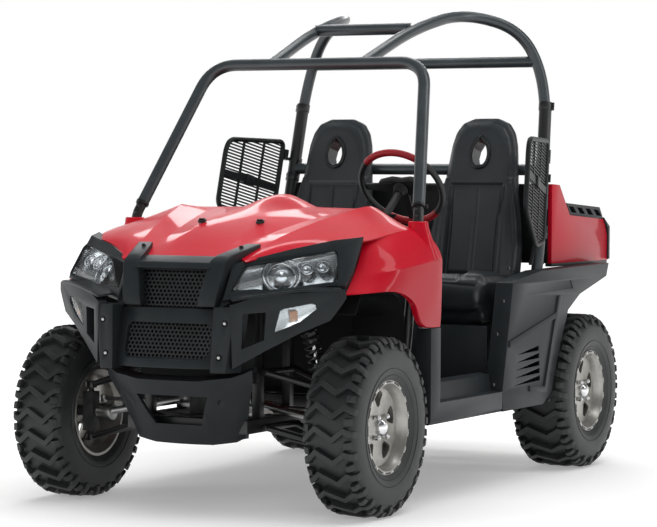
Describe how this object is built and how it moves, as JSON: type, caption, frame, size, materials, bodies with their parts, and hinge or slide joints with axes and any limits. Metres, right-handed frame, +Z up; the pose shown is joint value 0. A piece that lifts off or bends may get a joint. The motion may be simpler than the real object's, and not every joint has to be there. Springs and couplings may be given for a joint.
{
  "type": "side by side utility vehicle",
  "caption": "Four-wheel-drive side by side utility vehicle: lugged tyres on cast rims, tube roll cage, bucket seats, steering, swinging side guards and a tipping cargo bed with tailgate",
  "frame": {"origin": "on the floor midway between the axles, on the centre plane", "axes": "+Z up, -Y forward (the nose), +X to the driver's left"},
  "size_m": [1.4818, 2.806, 1.961],
  "materials": {
    "red_paint": "gloss",
    "fascia_plastic": "satin",
    "cage_paint": "satin",
    "frame_paint": "satin",
    "tyre": "matte",
    "cast_alloy": "brushed",
    "cast_iron": "matte",
    "steel": "brushed",
    "seat_vinyl": "satin",
    "lens": "gloss",
    "red_lens": "gloss",
    "black_rubber": "matte",
    "floor_plastic": "matte"
  },
  "bodies": {
    "chassis": {"frame_rails": "frame_paint", "frame_crossmembers": "frame_paint", "suspension_towers": "frame_paint", "bed_hinges": "frame_paint", "floor_pan": "floor_plastic", "firewall": "floor_plastic", "seat_box": "floor_plastic", "dash": "floor_plastic", "radiator": "cast_alloy", "engine": "cast_iron", "drive_cases": "cast_iron", "drive_shafts": "steel", "exhaust": "steel", "hitch_receiver": "frame_paint", "suspension_arms": "frame_paint", "shocks": "frame_paint", "rear_uprights": "cast_iron", "rack_housing": "cast_alloy", "rocker_panels": "fascia_plastic", "quarter_panels": "fascia_plastic", "fenders": "red_paint", "hood": "red_paint", "front_surround": "fascia_plastic", "grilles": "fascia_plastic", "front_bumper": "fascia_plastic", "bumper_wings": "fascia_plastic", "lower_bumper": "fascia_plastic", "headlights": "lens", "turn_signals": "lens", "front_liners": "floor_plastic", "seat_cushions": "seat_vinyl", "seat_backs": "seat_vinyl", "steering_column": "black_rubber", "front_hoop": "cage_paint", "cage_sides": "cage_paint", "cage_crossbars": "cage_paint", "cage_fittings": "frame_paint"},
    "left_steer": {"left_knuckle": "cast_iron"},
    "right_steer": {"right_knuckle": "cast_iron"},
    "rack": {"tie_rods": "steel"},
    "steering": {"steering_wheel": "black_rubber"},
    "bed": {"bed_box": "floor_plastic", "bed_sides": "red_paint", "bed_rails": "fascia_plastic", "tail_lamps": "red_lens"},
    "tailgate": {"tailgate": "red_paint"},
    "left_guard": {"left_gate": "fascia_plastic"},
    "right_guard": {"right_gate": "fascia_plastic"},
    "front_left_wheel": {"front_left_tyre": "tyre", "front_left_rim": "cast_alloy"},
    "front_right_wheel": {"front_right_tyre": "tyre", "front_right_rim": "cast_alloy"},
    "rear_left_wheel": {"rear_left_tyre": "tyre", "rear_left_rim": "cast_alloy"},
    "rear_right_wheel": {"rear_right_tyre": "tyre", "rear_right_rim": "cast_alloy"}
  },
  "joints": [
    {"name": "left_steer_turn", "type": "hinge", "parent": "chassis", "child": "left_steer", "pos_m": [0.57, -0.965, 0.33], "axis": [0, 0, 1], "range_deg": [-28, 28]},
    {"name": "right_steer_turn", "type": "hinge", "parent": "chassis", "child": "right_steer", "pos_m": [-0.57, -0.965, 0.33], "axis": [0, 0, 1], "range_deg": [-28, 28]},
    {"name": "rack_slide", "type": "slide", "parent": "chassis", "child": "rack", "axis": [1, 0, 0], "range_m": [-0.0435, 0.0435]},
    {"name": "steering_wheel_turn", "type": "hinge", "parent": "chassis", "child": "steering", "pos_m": [0.34, -0.11, 1.2], "axis": [0, 0.788, 0.6157], "range_deg": [-254, 254]},
    {"name": "bed_tip", "type": "hinge", "parent": "chassis", "child": "bed", "pos_m": [0, 1.224, 0.856], "axis": [-1, 0, 0], "range_deg": [0, 42]},
    {"name": "tailgate_fold", "type": "hinge", "parent": "bed", "child": "tailgate", "pos_m": [0, 1.384, 0.903], "axis": [-1, 0, 0], "range_deg": [0, 90]},
    {"name": "left_guard_swing", "type": "hinge", "parent": "chassis", "child": "left_guard", "pos_m": [0.64648, 0.6266, 0.96848], "axis": [-0.0483, 0.2032, 0.9779], "range_deg": [0, 75]},
    {"name": "right_guard_swing", "type": "hinge", "parent": "chassis", "child": "right_guard", "pos_m": [-0.64648, 0.6266, 0.96848], "axis": [-0.0483, -0.2032, -0.9779], "range_deg": [0, 75]},
    {"name": "front_left_roll", "type": "hinge", "parent": "left_steer", "child": "front_left_wheel", "pos_m": [0.62, -0.965, 0.33], "axis": [1, 0, 0], "continuous": true},
    {"name": "front_right_roll", "type": "hinge", "parent": "right_steer", "child": "front_right_wheel", "pos_m": [-0.62, -0.965, 0.33], "axis": [1, 0, 0], "continuous": true},
    {"name": "rear_left_roll", "type": "hinge", "parent": "chassis", "child": "rear_left_wheel", "pos_m": [0.6125, 0.965, 0.33], "axis": [1, 0, 0], "continuous": true},
    {"name": "rear_right_roll", "type": "hinge", "parent": "chassis", "child": "rear_right_wheel", "pos_m": [-0.6125, 0.965, 0.33], "axis": [1, 0, 0], "continuous": true}
  ],
  "couplings": [
    {"joint": "right_steer_turn", "follows": "left_steer_turn", "ratio": 1},
    {"joint": "rack_slide", "follows": "left_steer_turn", "m_per_rad": -0.088},
    {"joint": "steering_wheel_turn", "follows": "left_steer_turn", "ratio": 9}
  ]
}
